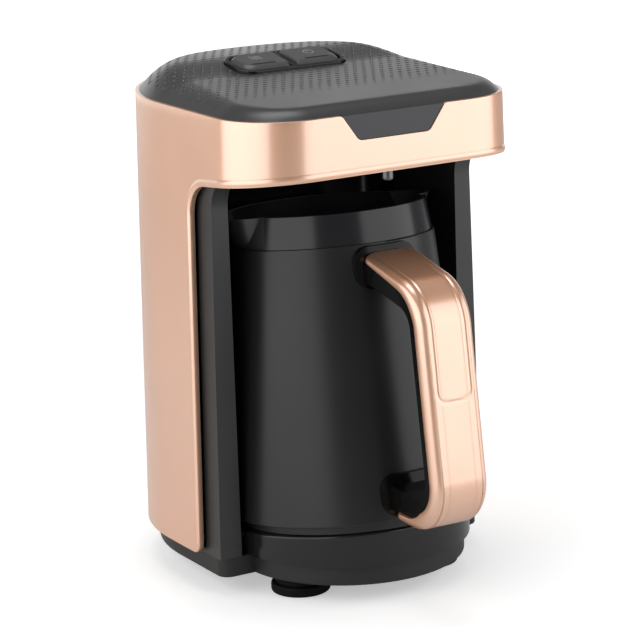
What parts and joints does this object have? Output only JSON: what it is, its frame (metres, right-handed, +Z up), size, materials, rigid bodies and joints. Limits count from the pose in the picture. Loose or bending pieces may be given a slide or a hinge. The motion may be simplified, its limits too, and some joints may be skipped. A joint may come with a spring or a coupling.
{
  "type": "electric turkish coffee maker",
  "caption": "Electric Turkish coffee maker: tall rounded housing with a copper-coloured wrap, an open bay, two keys on top and a lift-out electric pot with a loop handle.",
  "frame": {"origin": "on the surface that the feet stand on, on the middle plane, a little behind the middle of the bay's cheeks", "axes": "+Z up, +X to the right as seen from the front, the front with the pot's handle faces -Y"},
  "size_m": [0.143, 0.2105, 0.2263],
  "materials": {
    "copper_finish": "satin metallic copper lacquer on moulded plastic",
    "gloss_black": "polished",
    "satin_black": "satin with a fine pattern of dimples",
    "matte_black": "fine moulded grain",
    "key_black": "satin gloss",
    "pot_black": "satin gloss",
    "badge_grey": "satin",
    "indicator_white": "frosted",
    "sensor_lens": "clear smoky lens",
    "switch_body": "moulded",
    "circuit_board": "solder mask",
    "component_block": "moulded",
    "cable_skin": "soft skin",
    "coated_steel": "dark coating",
    "heater_steel": "brushed",
    "fastener_steel": "plated",
    "contact_brass": "plain",
    "seal_rubber": "matte",
    "foot_rubber": "matte"
  },
  "bodies": {
    "housing": {"base_pan": "matte_black", "foot_front_left": "foot_rubber", "foot_front_right": "foot_rubber", "foot_back_left": "foot_rubber", "foot_back_right": "foot_rubber", "deck": "gloss_black", "base_screws": "fastener_steel", "cheek_left": "gloss_black", "cheek_right": "gloss_black", "bay_liner": "gloss_black", "wrap_band": "copper_finish", "wrap_left": "copper_finish", "wrap_right": "copper_finish", "wrap_back": "copper_finish", "head_floor": "matte_black", "badge_plate": "badge_grey", "top_cover": "satin_black", "key_bezel": "matte_black", "switch_left": "switch_body", "switch_right": "switch_body", "control_board": "circuit_board", "buzzer": "matte_black", "control_screws": "fastener_steel", "sensor_window": "sensor_lens", "sensor_board": "circuit_board", "power_board": "circuit_board", "transformer": "component_block", "relay": "component_block", "terminal_block": "component_block", "power_screws": "fastener_steel", "head_cable": "cable_skin", "cord_gland": "matte_black", "gland_nut": "matte_black", "connector_socket": "matte_black", "socket_contacts": "contact_brass", "socket_wires": "cable_skin"},
    "pot": {"pot_jacket": "pot_black", "pot_base": "matte_black", "pot_vessel": "coated_steel", "collar_front": "pot_black", "collar_back": "pot_black", "vessel_seal": "seal_rubber", "heating_element": "heater_steel", "thermostat": "heater_steel", "pot_plug": "matte_black", "plug_contacts": "contact_brass", "handle_shell": "copper_finish", "handle_liner": "gloss_black", "handle_pad_upper": "gloss_black", "handle_pad_lower": "gloss_black", "handle_inset": "copper_finish", "handle_screws": "fastener_steel"},
    "key_left": {"key_left": "key_black", "indicator_left": "indicator_white", "plunger_left": "switch_body"},
    "key_right": {"key_right": "key_black", "indicator_right": "indicator_white", "plunger_right": "switch_body"}
  },
  "joints": [
    {"name": "pot_slide", "type": "slide", "parent": "housing", "child": "pot", "axis": [0, -0.9938, 0.1115], "range_m": [0, 0.13]},
    {"name": "key_left_press", "type": "slide", "parent": "housing", "child": "key_left", "axis": [0, 0, -1], "range_m": [0, 0.0012], "stiffness_N_per_m": 800},
    {"name": "key_right_press", "type": "slide", "parent": "housing", "child": "key_right", "axis": [0, 0, -1], "range_m": [0, 0.0012], "stiffness_N_per_m": 800}
  ]
}
